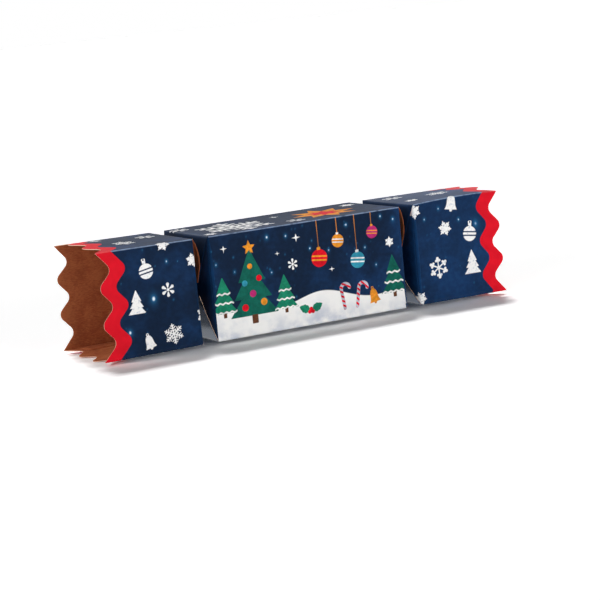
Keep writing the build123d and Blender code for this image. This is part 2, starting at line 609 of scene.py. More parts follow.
# Lowest and highest x of the print on each section's panels, and how many small lights a millimetre of it has
SPANS = {"left_end": (-132.0, -78.0), "centre": (-67.0, 67.0), "right_end": (78.0, 132.0)}
SPECKS_PER_LENGTH = 1.8
SCENE_MARGIN = 0.7          # how far the middle box's scene stops short of its right crease, in millimetres
CREASE_SLACK = 0.01         # how far past a crease a place still counts as on its panel, in millimetres
BACK_SCENE = 50.0           # height on the back up to which the scene takes the place of the rows
REACH_SHARE = 1.3           # how far from its centre a motif is worked out, as a share of its size
REACH_MARGIN = 2.0          # and in millimetres beyond that
SPECK_SEED = 20             # seed of the sprinkle of small lights on the first section

# Soft lights in the night on the front: x, height, radius, strength
GLOWS = {
    "left_end": [(-106.8, 33, 2.6, 1.0), (-123.8, 15.3, 1.9, 1.0), (-96.2, 54, 1.2, 0.9)],
    "right_end": [(122.2, 45.8, 2.8, 0.62), (96, 59, 1.1, 0.9), (85, 54, 1.1, 0.9), (110, 50, 1.2, 0.9)],
    "centre": [
        (-28, 59, 1.5, 1.0), (62, 58, 1.4, 0.9), (-52, 41, 1.2, 0.7), (-15, 58, 1.2, 1.0),
        (1, 48, 1.1, 1.0), (14, 45, 1.1, 0.9), (28, 59, 1.2, 1.0), (40, 43, 1.1, 0.9),
        (53, 61, 1.2, 1.0), (-27, 37, 1.1, 0.9), (-64, 47, 1.2, 0.8), (47, 31, 1.1, 0.9),
    ],
}


def lay(x, q, motifs, colours=None):
    """Nearest distance to a list of motifs, and the ink of the nearest, over an array of places.

    Each motif sees the sheet turned about its centre, u to the right and v up.
    """
    distance = np.full(x.shape, FAR)
    ink = np.ones((*x.shape, 4))
    for draw, at_x, at_q, size, degrees, *ink_name in motifs:
        reach = size * REACH_SHARE + REACH_MARGIN
        near = (np.abs(x - at_x) < reach) & (np.abs(q - at_q) < reach)
        if not near.any():
            continue
        turn = radians(degrees)
        right, up = (x[near] - at_x) / size, (at_q - q[near]) / size
        found = size * draw(right * cos(turn) + up * sin(turn), up * cos(turn) - right * sin(turn))
        closer = found < distance[near]
        distance[near] = np.minimum(distance[near], found)
        if colours is not None:
            places = np.flatnonzero(near.ravel())[closer]
            ink.reshape(-1, 4)[places] = tuple(getattr(colours, *ink_name))
    return distance, ink


def plain_row(low, high, start):
    """White motifs in staggered rows over the bottom and back sides between two ends of a section."""
    motifs = []
    columns = int((high - low - ROW_MARGIN) // ROW_STEP)
    first = (low + high) / 2 - ROW_STEP * (columns - 1) / 2
    for row, q in enumerate(foot + up for foot in (FRONT_FOOT, BACK_FOOT) for up in ROW_PLACES):
        for column in range(columns):
            kind = ROW_MOTIFS[(start + 3 * row + column) % len(ROW_MOTIFS)]
            size = ROW_SIZES.get(kind, ROW_SIZE)
            x = first + ROW_STEP * column + (ROW_SHIFT if row % 2 else -ROW_SHIFT)
            motifs.append((kind, x, q, size, 180 if q > BACK_FOOT else 0))
    return motifs


def hill(x, q):
    """Height of a place on the front or the back above the snow line."""
    mound = 7 * np.exp(-(((x - 2) / 24) ** 2))
    bank = 5 * np.exp(-(((x + 66) / 16) ** 2))
    front_line = 13 + mound + bank + 1.2 * np.sin(x / 9)
    back_line = 14 + 4 * np.sin(x / 21 + 0.6) + 1.0 * np.sin(x / 7)
    on_front = FRONT_FOOT - q - front_line
    on_back = q - BACK_FOOT - back_line
    distance = np.where(q < BACK_FOOT - 30, on_front, on_back)
    return np.where((q > FRONT_FOOT + 1) & (q < BACK_FOOT - 1), FAR, distance)


def specks(x, q, section):
    """Sum of soft round lights, the placed ones and a seeded sprinkle of small ones."""
    total = np.zeros(x.shape)
    rng = np.random.default_rng(SPECK_SEED + SECTIONS.index(section))
    low, high = SPANS[section]
    count = int((high - low) * SPECKS_PER_LENGTH)
    sprinkle = zip(rng.uniform(low, high, count), rng.uniform(0, SHEET, count), rng.uniform(0.4, 0.8, count),
                   rng.uniform(0.15, 0.7, count) ** 1.5)
    placed = [(at_x, front(height), *rest) for at_x, height, *rest in GLOWS[section]]
    for at_x, at_q, radius, strength in [*placed, *sprinkle]:
        near = (np.abs(x - at_x) < 3 * radius) & (np.abs(q - at_q) < 3 * radius)
        square = ((x[near] - at_x) ** 2 + 0.5 * (q[near] - at_q) ** 2) / radius**2
        total[near] += strength * (0.25 * np.exp(-square) + 0.75 * np.exp(-6 * square))
    return np.clip(total, 0, 1)


def print_panel(piece, section, side, x, s, colours, tube, mouth=None, fold=None):
    """Lay the sheet's print on the outer face of a panel, bend or fold as distances and inks.

    White motifs run on over the necks. The snow scene and the soft lights stop at the creases.
    """
    x = x / MM
    q = SIDES.index(side) * tube.section / MM + (tube.half - s) / MM
    q = np.broadcast_to(q, x.shape)
    low, high = SPANS[section]
    rows = plain_row(low, high, SECTIONS.index(section))
    if section == "centre":
        rows = [motif for motif in rows if motif[2] < BACK_FOOT or motif[2] > back(BACK_SCENE)]
        on_panel = (x >= low - CREASE_SLACK) & (x <= high - SCENE_MARGIN)
    else:
        on_panel = np.abs(x) >= min(abs(low), abs(high)) - CREASE_SLACK
    snow = motif = detail = bare = np.full(x.shape, FAR)
    motif_ink = detail_ink = np.ones((*x.shape, 4))
    if section == "centre" and on_panel.any():
        snow = hill(x, q)
        motif, motif_ink = lay(x, q, MOTIFS, colours)
        detail, detail_ink = lay(x, q, DETAILS, colours)
    add_layer(piece, "white_ink", lay(x, q, [*WHITE_PRINT[section], *rows])[0])
    for name, values in (("snow", snow), ("motif", motif), ("detail", detail)):
        add_layer(piece, name, np.where(on_panel, values, FAR))
    add_layer(piece, "motif_ink", motif_ink, 1)
    add_layer(piece, "detail_ink", detail_ink, 1)
    add_layer(piece, "glow", np.where(on_panel, specks(x, q, section), 0), 0)
    add_layer(piece, "mouth", bare if mouth is None else mouth / MM)
    add_layer(piece, "fold", bare if fold is None else fold / MM)


# Shader nodes

GREY = (0.5, 0.5, 0.5, 1)
INK_EDGE = 0.12             # half width of the soft edge of an ink, in millimetres
SNOW_EDGE = 0.3             # the same for the snow


def add_node(tree, kind, inputs=None, **settings):
    """Node of a kind with its settings, each input linked if given a socket and set if given a value."""
    node = tree.nodes.new("ShaderNode" + kind)
    for name, value in settings.items():
        setattr(node, name, value)
    for name, value in (inputs or {}).items():
        if isinstance(value, bpy.types.NodeSocket):
            tree.links.new(value, node.inputs[name])
        else:
            node.inputs[name].default_value = value
    return node


def mix(tree, factor, first, second, blend="MIX"):
    """Colour mixed from two others."""
    inputs = {0: factor, 6: first, 7: second}
    return add_node(tree, "Mix", inputs, data_type="RGBA", blend_type=blend).outputs[2]


def ramp(tree, value, low, high, smooth=True):
    """Value mapped from a range to 0 to 1."""
    kind = "SMOOTHSTEP" if smooth else "LINEAR"
    inputs = {"Value": value, "From Min": low, "From Max": high}
    return add_node(tree, "MapRange", inputs, interpolation_type=kind).outputs[0]


def where(tree):
    """The object's own coordinates."""
    return add_node(tree, "TexCoord").outputs["Object"]


def noise(tree, scale, detail=3.0, rough=0.55):
    """Noise on the object's own coordinates."""
    inputs = {"Vector": where(tree), "Scale": scale, "Detail": detail, "Roughness": rough}
    return add_node(tree, "TexNoise", inputs).outputs[0]


def calculate(tree, operation, first, second):
    """Result of a sum with two values."""
    return add_node(tree, "Math", {0: first, 1: second}, operation=operation).outputs[0]


def multiply(tree, first, second):
    """Product of two values."""
    return calculate(tree, "MULTIPLY", first, second)


def new_group(name, colours=(), values=None, outputs=("Color",)):
    """Empty shader group with sockets for colours and numbers, and its two end nodes."""
    tree = bpy.data.node_groups.new(name, "ShaderNodeTree")
    for label, default in {**dict.fromkeys(colours, GREY), **(values or {})}.items():
        kind = "NodeSocketColor" if label in colours else "NodeSocketFloat"
        tree.interface.new_socket(label, in_out="INPUT", socket_type=kind).default_value = default
    for label in outputs:
        kind = "NodeSocketColor" if label == "Color" else "NodeSocketFloat"
        tree.interface.new_socket(label, in_out="OUTPUT", socket_type=kind)
    return tree, tree.nodes.new("NodeGroupInput").outputs, tree.nodes.new("NodeGroupOutput").inputs


def ink_layer_group():
    """One printed ink over a ground: solid where its distance is below nought, with a crisp edge."""
    tree, given, result = new_group("Ink layer", ("Ground", "Ink"), {"Distance": 1.0, "Soft": INK_EDGE})
    cover = ramp(tree, given["Distance"], given["Soft"], multiply(tree, given["Soft"], -1.0))
    tree.links.new(mix(tree, cover, given["Ground"], given["Ink"]), result["Color"])
    return tree


def night_group():
    """Blue night ground, clouded by two sizes of noise and lighter over the right end."""
    tree, given, result = new_group("Night ground", ("Night", "Dusk"))
    clouds = ramp(tree, noise(tree, 26.0, 4.0, 0.6), 0.42, 0.8)
    along = add_node(tree, "SeparateXYZ", {0: where(tree)}).outputs["X"]
    lighter = multiply(tree, ramp(tree, along, 0.05, 0.1), 0.5)
    base = mix(tree, calculate(tree, "ADD", clouds, lighter), given["Night"], given["Dusk"])
    grain = ramp(tree, noise(tree, 420.0, 2.0), 0.3, 0.75)
    shade = mix(tree, grain, (0.86, 0.86, 0.88, 1), (1.1, 1.1, 1.1, 1))
    tree.links.new(mix(tree, 1.0, base, shade, "MULTIPLY"), result["Color"])
    return tree


def wash_group():
    """Painted ink: one colour, lighter and darker in soft patches."""
    tree, given, result = new_group("Painted ink", ("Color",))
    patches = ramp(tree, noise(tree, 260.0, 4.0, 0.65), 0.3, 0.72)
    shade = mix(tree, patches, (0.66, 0.68, 0.7, 1), (1.16, 1.14, 1.12, 1))
    tree.links.new(mix(tree, 1.0, given["Color"], shade, "MULTIPLY"), result["Color"])
    return tree


def board_group():
    """Skin of printed board: fine fibre grain and slow waves as height, and uneven gloss as roughness."""
    tree, given, result = new_group("Board skin", (), {"Gloss": 0.36}, ("Height", "Roughness"))
    fine = multiply(tree, noise(tree, 2600.0, 2.0), 0.02)
    slow = multiply(tree, noise(tree, 38.0, 2.0), 0.3)
    tree.links.new(calculate(tree, "ADD", fine, slow), result["Height"])
    uneven = multiply(tree, noise(tree, 170.0, 3.0), 0.1)
    tree.links.new(calculate(tree, "ADD", given["Gloss"], uneven), result["Roughness"])
    return tree


def wear_and_highlight_group():
    """Ink worn pale along a fold, partly real wear and partly a painted highlight on the rounded fold: most
    on the fold line, broken by noise and never darker than the ink.
    """
    tree, given, result = new_group("Fold wear", ("Color", "Worn"), {"Distance": 9.0, "Amount": 0.4})
    near = ramp(tree, given["Distance"], 0.9, 0.25)
    broken = ramp(tree, noise(tree, 300.0, 3.0), 0.1, 0.6)
    amount = multiply(tree, multiply(tree, near, broken), given["Amount"])
    tree.links.new(mix(tree, amount, given["Color"], given["Worn"], "LIGHTEN"), result["Color"])
    return tree


def kraft_group():
    """Uncoated kraft: long fibres along the board, blotches and dark flecks, with their height."""
    tree, given, result = new_group("Kraft fibre", ("Light", "Dark"), None, ("Color", "Height"))
    stretched = add_node(tree, "Mapping", {"Vector": where(tree), "Scale": (500, 1800, 1800)}).outputs[0]
    fibre = add_node(tree, "TexNoise", {"Vector": stretched, "Scale": 1.0, "Detail": 4.0}).outputs[0]
    both = calculate(tree, "ADD", fibre, noise(tree, 90.0, 3.0))
    base = mix(tree, ramp(tree, both, 0.75, 1.25), given["Dark"], given["Light"])
    fleck = ramp(tree, noise(tree, 1500.0, 1.0), 0.66, 0.74)
    tree.links.new(mix(tree, multiply(tree, fleck, 0.5), base, (0.06, 0.03, 0.015, 1)), result["Color"])
    tree.links.new(fibre, result["Height"])
    return tree


# Materials

SHADER_GROUPS = {
    "Ink layer": ink_layer_group, "Night ground": night_group, "Painted ink": wash_group,
    "Board skin": board_group, "Fold wear": wear_and_highlight_group, "Kraft fibre": kraft_group,
}
FINISHES = {}               # materials of the cracker by name, made at their first use
# Printed boards: roughness before its grain, specular level and specular tint
PRINTED_BOARDS = {
    "printed_board": (0.5, 0.055, (1, 1, 1, 1)),
    "printed_sheen": (0.45, 0.09, (1, 1, 1, 1)),
    "printed_bend": (0.36, 0.25, (0.12, 0.42, 1, 1)),
    "printed_fold": (0.16, 1.0, (0.53, 0.72, 1, 1)),
}
PRINT_RELIEF = 0.22 * MM    # height of the grain of printed board
KRAFT_RELIEF = 0.05 * MM    # height of the fibres inside
EDGE_RELIEF = 0.04 * MM     # height of the fibres in a cut edge
BARE_SHINE = 0.2            # specular level of uncoated board
FOLD_WEAR_AND_HIGHLIGHT = 0.7             # how much of the ink turns pale on a fold line, partly wear and partly a painted highlight
DEEP_RED = 0.86             # the darker patches of the band, as a share of its red
PALE_EDGE = 1.12            # the lighter fibres of a cut edge, as a share of its colour


def use_group(tree, name, inputs):
    """Outputs of a shared group placed in a material with its own values."""
    group = bpy.data.node_groups.get(name) or SHADER_GROUPS[name]()
    return add_node(tree, "Group", inputs, node_tree=group).outputs


def new_material(name):
    """New material with its tree and the inputs of its shader."""
    material = FINISHES[name] = bpy.data.materials.new(name)
    material.use_nodes = True
    return material.node_tree, material.node_tree.nodes["Principled BSDF"].inputs


def bump(tree, shader, height, distance):
    """Height fed to the shader's normal."""
    inputs = {"Height": height, "Distance": distance, "Strength": 1.0}
    tree.links.new(add_node(tree, "Bump", inputs).outputs[0], shader["Normal"])


def scaled(ink, factor):
    """Colour made lighter or darker by a factor, up to full."""
    return (*(min(1.0, factor * value) for value in ink[:3]), 1)


def printed_board(name, colours, band_width):
    """Printed board: night, soft lights, snow, coloured motifs, white motifs, red band, and folds worn pale
    with a painted highlight.
    """
    tree, shader = new_material(name)

    def read(layer, output="Fac"):
        return add_node(tree, "Attribute", attribute_name=layer).outputs[output]

    def ink_over(ground, ink, distance, soft=INK_EDGE):
        inputs = {"Ground": ground, "Ink": ink, "Distance": distance, "Soft": soft}
        return use_group(tree, "Ink layer", inputs)["Color"]

    glow, snow = read("glow"), read("snow")
    ground = use_group(tree, "Night ground", {"Night": colours.night, "Dusk": colours.dusk})["Color"]
    ground = mix(tree, ramp(tree, glow, 0.0, 0.6, False), ground, colours.glow)
    ground = mix(tree, ramp(tree, glow, 0.4, 0.9), ground, colours.gleam)
    hollows = ramp(tree, noise(tree, 95.0, 4.0), 0.35, 0.7)
    hollows = multiply(tree, hollows, ramp(tree, snow, -1.0, -17.0, False))
    ground = ink_over(ground, mix(tree, hollows, colours.white, colours.shade), snow, SNOW_EDGE)
    for layer in ("motif", "detail"):
        painted = use_group(tree, "Painted ink", {"Color": read(layer + "_ink", "Color")})["Color"]
        ground = ink_over(ground, painted, read(layer))
    patches = ramp(tree, noise(tree, 700.0, 2.0), 0.5, 0.8)
    ground = ink_over(ground, mix(tree, patches, colours.white, colours.shade), read("white_ink"))
    band = calculate(tree, "SUBTRACT", read("mouth"), band_width / MM)
    tone = ramp(tree, noise(tree, 130.0, 3.0), 0.3, 0.75)
    ground = ink_over(ground, mix(tree, tone, scaled(colours.red, DEEP_RED), colours.red), band)
    # Worn ink along the folds, which also serves as a painted highlight on the rounded folds, pale red over
    # the band
    worn = ink_over(colours.wear, colours.worn_red, band)
    inputs = {"Color": ground, "Worn": worn, "Distance": read("fold"), "Amount": FOLD_WEAR_AND_HIGHLIGHT}
    tree.links.new(use_group(tree, "Fold wear", inputs)["Color"], shader["Base Color"])
    gloss, shine, tint = PRINTED_BOARDS[name]
    skin = use_group(tree, "Board skin", {"Gloss": gloss})
    tree.links.new(skin["Roughness"], shader["Roughness"])
    bump(tree, shader, skin["Height"], PRINT_RELIEF)
    shader["Specular IOR Level"].default_value = shine
    shader["Specular Tint"].default_value = tint


def bare_board(name, light, dark, relief, rough):
    """Uncoated board: kraft fibres as colour and height."""
    tree, shader = new_material(name)
    fibre = use_group(tree, "Kraft fibre", {"Light": light, "Dark": dark})
    tree.links.new(fibre["Color"], shader["Base Color"])
    bump(tree, shader, fibre["Height"], relief)
    shader["Roughness"].default_value = rough
    shader["Specular IOR Level"].default_value = BARE_SHINE


def board_materials(scene, outside="printed_board"):
    """Outside, inside and cut edge of the board, in the order of the face numbers."""
    colours = scene.cracker_colours
    if not FINISHES:
        for name in PRINTED_BOARDS:
            printed_board(name, colours, scene.cracker_sizes.band_width)
        bare_board("kraft_inside", colours.kraft, colours.kraft_dark, KRAFT_RELIEF, 0.85)
        bare_board("cut_edge", scaled(colours.edge, PALE_EDGE), colours.edge, EDGE_RELIEF, 0.9)
    return [FINISHES[name] for name in (outside, "kraft_inside", "cut_edge")]


# Pieces

# How far each side stands out at the middle of a mouth, or of the middle box, in millimetres, and its skew
BOWS = {
    ("left_end", "top"): (1.7, 0.8), ("left_end", "front"): (0.3, 0), ("left_end", "back"): (3.4, 0),
    ("left_end", "bottom"): (1.8, 0.34), ("right_end", "top"): (2.2, -0.1), ("right_end", "front"): (0.3, 0),
    ("right_end", "back"): (1.2, 0), ("right_end", "bottom"): (1.6, 0), ("centre", "top"): (-0.6, 0),
    ("centre", "front"): (0.3, 0), ("centre", "back"): (0.3, 0), ("centre", "bottom"): (1.5, 0),
}
# How far each mouth has spread, in millimetres: the front and back of its top up, its bottom down, its back
# outwards, its foot and the middle of its sides forwards, and how far the top front corner arches on its way
Flare = namedtuple("Flare", "top_front top_back bottom back foot middle arch")
FLARES = {
    "left_end": Flare(0.5, 0.5, 0.5, 2.0, 1.2, 0, 0),
    "centre": Flare(0, 0, 0, 0, 0, 0, 0),
    "right_end": Flare(0.8, -0.5, 0.3, 0.5, 1.9, 1.2, 1.0),
}
FLOOR_DROP = 2.4 * MM       # the bowed bottom rests on the floor
BAND_SHIFT = 1.6            # how far the right mouth's band is out of step with its cut, in millimetres
BAND_DEPTH = 0.9            # depth of that band's waves as a share of the cut's
CELL_SCALE = {"front": 1.0, "top": 1.0, "back": 1.2, "bottom": 1.8}
LESS_WEAR_AND_HIGHLIGHT = 0.8 * MM        # added to the distance from a lower corner, which gets less of the worn ink and painted highlight


def panel_bow(section, side, x, s, tube):
    """Outward bow: a skewed parabola across the flat, rising to a mouth or to the middle of the box."""
    amount, skew = BOWS[section, side]
    share = s / (tube.half - tube.corner_radius)
    across = np.clip(1 - share**2, 0, 1) * (1 + skew * share)
    if section == "centre":
        along = np.sin(pi * (x / tube.centre_length + 0.5))
    else:
        along = mouth_share(x, tube) ** 1.5
    return amount * MM * across * along


def mouth_share(x, tube):
    """Nought at a neck fold and in the middle box, rising evenly to one at the mouth of an end."""
    return np.clip((np.abs(x) - tube.end_start) / tube.end_length, 0, 1)


def spread(section, side, x, s, n, tube):
    """Points of a section's side, moved by height, depth and length to open its mouth a little."""
    points = place(side, x, s, n, tube)
    flare = FLARES[section]
    height = points[..., 2] / tube.section
    depth = points[..., 1] / tube.section + 0.5
    share = mouth_share(points[..., 0], tube)
    top = flare.top_front * (1 - depth) + flare.top_back * depth
    arch = flare.arch * 4 * (1 - share) * (1 - depth)
    forwards = flare.foot * (1 - height) + flare.middle * 4 * (height * (1 - height) + depth * (1 - depth))
    points[..., 2] += MM * share * ((top + arch) * height - flare.bottom * (1 - height))
    points[..., 1] += MM * share * flare.back * depth
    points[..., 0] += MM * share * forwards * np.sign(points[..., 0])
    return points


def panel_ends(section, side, s, tube):
    """Lower and upper x of a section at each place across: short of the bend at a neck, wavy at a mouth."""
    near, far = (tube.crease_trim(side, left_of_gap, s) for left_of_gap in (True, False))
    if section == "centre":
        return far - tube.neck, tube.neck - near
    edge = tube.mouth - wave_drop(s, tube)
    if section == "left_end":
        return -edge, -tube.end_start - near
    return tube.end_start + far, edge


def section_body(section):
    """Body that carries a section."""
    return "centre_box" if section == "centre" else section + "_tube"


class CRACKER_OT_panels(Operator):
    """Build the twelve printed panels with their wavy mouths"""

    bl_idname = "cracker.panels"
    bl_label = "Printed panels"

    def build(self, scene, section, side):
        """Grid of x along and s across on the outside and inside of one side of a section."""
        tube = Tube(scene.cracker_sizes)
        cell = tube.cell * CELL_SCALE[side]
        (s, n), (s_in, n_in) = cross_profile(tube, cell)
        low, high = panel_ends(section, side, s, tube)
        rows = round((tube.centre_length if section == "centre" else tube.end_length) / cell)
        x = low + np.linspace(0, 1, rows + 1)[:, None] * (high - low)
        bow = panel_bow(section, side, x, s, tube)
        outer = spread(section, side, x, s, n + bow, tube)
        inner = spread(section, side, x, s_in, n_in + bow, tube)
        first = CUT_FACE if section == "left_end" else PRINT_FACE
        last = CUT_FACE if section == "right_end" else PRINT_FACE
        shell = slab(outer, inner, (PRINT_FACE, last, PRINT_FACE, first))
        finish = "printed_sheen" if (section, side) == ("right_end", "top") else "printed_board"
        piece = add_piece(f"{section}_{side}_board", shell, board_materials(scene, finish))
        # Distance from the corner for the fold wear and painted highlight, which is less on the lower corners
        corner = tube.half - np.abs(s) + np.where(outer[..., 2] < tube.half, LESS_WEAR_AND_HIGHLIGHT, 0)
        edge = tube.mouth - BAND_DEPTH * wave_drop(s - BAND_SHIFT * MM, tube)
        mouth = {"left_end": x - low, "right_end": edge - x}.get(section)
        print_panel(piece, section, side, x, s, scene.cracker_colours, tube, mouth, corner)
        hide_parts(f"{section}_{side}_panel")
        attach(piece, section_body(section))

    def execute(self, context):
        for section in SECTIONS:
            for side in SIDES:
                self.build(context.scene, section, side)
        return {"FINISHED"}


# Every neck fold as its hand, its side and its part
NECK_FOLDS = [(hand, side, part) for hand in HANDS for side in SIDES for part in ("inner", "outer")]
# Share of the fold bow by side, and whether the fold is on the left of its gap: into the gap, or away from it
FOLD_CURLS = {("top", True): 1.0, ("bottom", True): -0.45}
SLIGHT_CURL = 0.1           # that share on the other folds
FOLD_FULLNESS = 0.75        # power below one that lets the bow start close to the bend
FOLD_TAPER = 2.6            # how steeply the bow falls to the valley, where the gap closes
FOLD_CELL = 2               # mesh cells of a fold, as a multiple of the cell size
# Share by which bottom folds narrow further to their valley, by hand and whether they are left of their gap
BOTTOM_TAPERS = {("left", True): 0.12, ("left", False): 0, ("right", True): 0.5, ("right", False): 0.5}
PRESSED_EDGE = 0.6          # share of the board's thickness lost at the cut edges of a fold
INNER_ROUND = 0.05          # least inside radius of a bend, as a share of the board's thickness


def neck_place(fold, x, beside, n, tube):
    """Point beside the inner crease of the right neck, mirrored to its part and hand."""
    hand, side, part = fold
    if part == "outer":
        x = 2 * tube.neck_middle - x
    if hand == "left":
        x = -x
    return place(side, x, beside, n, tube)


def fold_place(fold, along, beside, lift, tube):
    """Point of a neck fold made flat, then turned down about its crease."""
    angle = tube.fold_angle
    x = tube.neck + along * cos(angle) + lift * sin(angle)
    n = tube.half - tube.board - along * sin(angle) + lift * cos(angle)
    return neck_place(fold, x, beside, n, tube)


def print_neck(piece, fold, past, beside, scene, tube):
    """Print of the section that a neck fold joins, carried on past its crease, or short of it if negative."""
    hand, side, part = fold
    x = tube.neck + past if part == "inner" else tube.end_start - past
    x = x if hand == "right" else -x
    print_panel(piece, neck_section(hand, part), side, x, beside, scene.cracker_colours, tube)


def neck_section(hand, part):
    """Section whose panel a fold or bend joins."""
    return "centre" if part == "inner" else f"{hand}_end"


def left_of_its_gap(hand, part):
    """Whether a fold is on the left of its gap, where it is mirrored twice or not at all."""
    return (part == "outer") == (hand == "left")


class CRACKER_OT_folds(Operator):
    """Build the sixteen folds of the necks, with curled loose edges on the top"""

    bl_idname = "cracker.folds"
    bl_label = "Neck folds"

    def build(self, scene, fold):
        """Trapezium of along and beside, bowed by a full half sine and by no more than its gap."""
        hand, side, part = fold
        tube = Tube(scene.cracker_sizes)
        cell = FOLD_CELL * tube.cell
        t = np.linspace(-1, 1, round(tube.section / cell) + 1)
        near = left_of_its_gap(hand, part)
        trim = tube.crease_trim(side, near, t * tube.fold_reach(side, 0))
        end = tube.fold_length - tube.crease_clearance
        depth = np.linspace(0, 1, round(end / cell) + 1)[:, None]
        along = trim + (end - trim) * depth
        beside = t * tube.fold_reach(side, along)
        if side == "bottom":
            beside *= 1 - BOTTOM_TAPERS[hand, near] * along / tube.fold_length
        bow = tube.fold_bow * FOLD_CURLS.get((side, near), SLIGHT_CURL)
        wave = np.minimum(np.sin(pi * depth).clip(0) ** FOLD_FULLNESS, FOLD_TAPER * (1 - depth))
        lift = bow * wave * (0.9 + 0.1 * t**2)
        pressed = PRESSED_EDGE * tube.board * t**8
        outer = fold_place(fold, along, beside, lift + tube.board, tube)
        inner = fold_place(fold, along, beside, lift + pressed, tube)
        top_edge = KRAFT_FACE if near else PRINT_FACE
        edge = top_edge if side == "top" else CUT_FACE
        shell = slab(outer, inner, (edge, PRINT_FACE, edge, PRINT_FACE), flip=not near)
        finish = {"bottom": "printed_fold", "top": "printed_board"}.get(side, "printed_bend")
        piece = add_piece(f"{hand}_neck_{side}_{part}_board", shell, board_materials(scene, finish))
        print_neck(piece, fold, along, beside, scene, tube)
        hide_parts(f"{hand}_neck_{side}_{part}_fold")
        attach(piece, f"{hand}_{side}_{part}")

    def execute(self, context):
        for fold in NECK_FOLDS:
            self.build(context.scene, fold)
        return {"FINISHED"}


class CRACKER_OT_bends(Operator):
    """Build the rounded bends that join each neck fold to its panel"""

    bl_idname = "cracker.bends"
    bl_label = "Crease bends"

    def build(self, scene, fold):
        """Arc that touches the panel and the fold, of a radius that is the board's own at its loose ends."""
        hand, side, part = fold
        tube = Tube(scene.cracker_sizes)
        widest = tube.fold_reach(side, 0)
        t = np.linspace(-1, 1, 2 * round(widest / tube.cell) + 1)
        share = np.linspace(0, 1, BEND_STEPS + 1)[:, None]
        near = left_of_its_gap(hand, part)
        radius = tube.crease_radius(side, near, t * widest)
        trim = tube.crease_trim(side, near, t * widest)
        beside = t * tube.fold_reach(side, trim * share)
        turn = share * tube.fold_angle

        def arc(inset):
            reach = np.maximum(radius - inset, INNER_ROUND * tube.board)
            x = tube.neck - trim + reach * np.sin(turn)
            return neck_place(fold, x, beside, tube.half - radius + reach * np.cos(turn), tube)

        outer = arc(0)
        edge = CUT_FACE if near else PRINT_FACE
        shell = slab(outer, arc(tube.board), (edge, PRINT_FACE, edge, PRINT_FACE), flip=not near)
        piece = add_piece(f"{hand}_neck_{side}_{part}_bend", shell, board_materials(scene, "printed_bend"))
        print_neck(piece, fold, trim * (2 * share - 1), beside, scene, tube)
        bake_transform(piece)

    def execute(self, context):
        for fold in NECK_FOLDS:
            self.build(context.scene, fold)
        return {"FINISHED"}


FLAP_CELLS = (48, 8)        # mesh cells of a seam flap along and across


class CRACKER_OT_flaps(Operator):
    """Build the glued seam flaps inside the bottom back corner"""

    bl_idname = "cracker.flaps"
    bl_label = "Seam flaps"

    def build(self, scene, section):
        """Strip of two parameters, along the tube and from the corner to the tip, with slanted ends."""
        tube = Tube(scene.cracker_sizes)
        low, high = tube.end_start + tube.flap_setback, tube.mouth - tube.flap_mouth_setback
        if section == "centre":
            low, high = -tube.neck + tube.flap_setback, tube.neck - tube.flap_setback
        t = np.linspace(0, 1, FLAP_CELLS[0] + 1)[:, None]
        out = np.linspace(0, 1, FLAP_CELLS[1] + 1)
        first = low + tube.flap_taper * out
        last = high - tube.flap_taper * out
        x = first + t * (last - first)
        if section == "left_end":
            x = -x[::-1]
        s = out * tube.flap_width - (tube.half - tube.corner_radius)
        glued = tube.half - tube.board + panel_bow(section, "bottom", x, s, tube)
        outer = spread(section, "bottom", x, s, glued, tube)
        inner = spread(section, "bottom", x, s, glued - tube.board, tube)
        shell = slab(outer, inner, (KRAFT_FACE,) * 4, faces=(KRAFT_FACE, KRAFT_FACE))
        piece = add_piece(f"{section}_glued_flap", shell, board_materials(scene))
        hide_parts(f"{section}_seam_flap")
        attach(piece, section_body(section))

    def execute(self, context):
        for section in SECTIONS:
            self.build(context.scene, section)
        return {"FINISHED"}


# Suns: turn from the camera, elevation and angular size, in degrees
SUNS = {"key": (188, 61, 10), "fill": (40, 4, 24), "side": (-35, 14, 24)}
# Lamp into the left mouth: azimuth, elevation and cone in degrees
MOUTH_TURN, MOUTH_HEIGHT, MOUTH_CONE = -105, 46, 5.5
MOUTH_DEPTH = 0.013         # how far inside the mouth its middle falls, in metres
MOUTH_DISTANCE = 0.7        # lamp to that place
MOUTH_SIZE = 0.04           # radius of the lamp
MOUTH_BLEND = 0.7           # softness of its cone
FLOOR_SIZE = 12.0           # half width of the floor, in metres
FLOOR_GREY = 0.88           # floor colour to all light
FLOOR_SEEN = 1.42           # floor colour to the camera
WHITE = (1, 1, 1, 1)
SENSOR = 36                 # width of the camera's sensor, in millimetres


def direction(azimuth, elevation):
    """Unit vector towards an azimuth and elevation given in degrees."""
    a, e = radians(azimuth), radians(elevation)
    return Vector((sin(a) * cos(e), -cos(a) * cos(e), sin(e)))


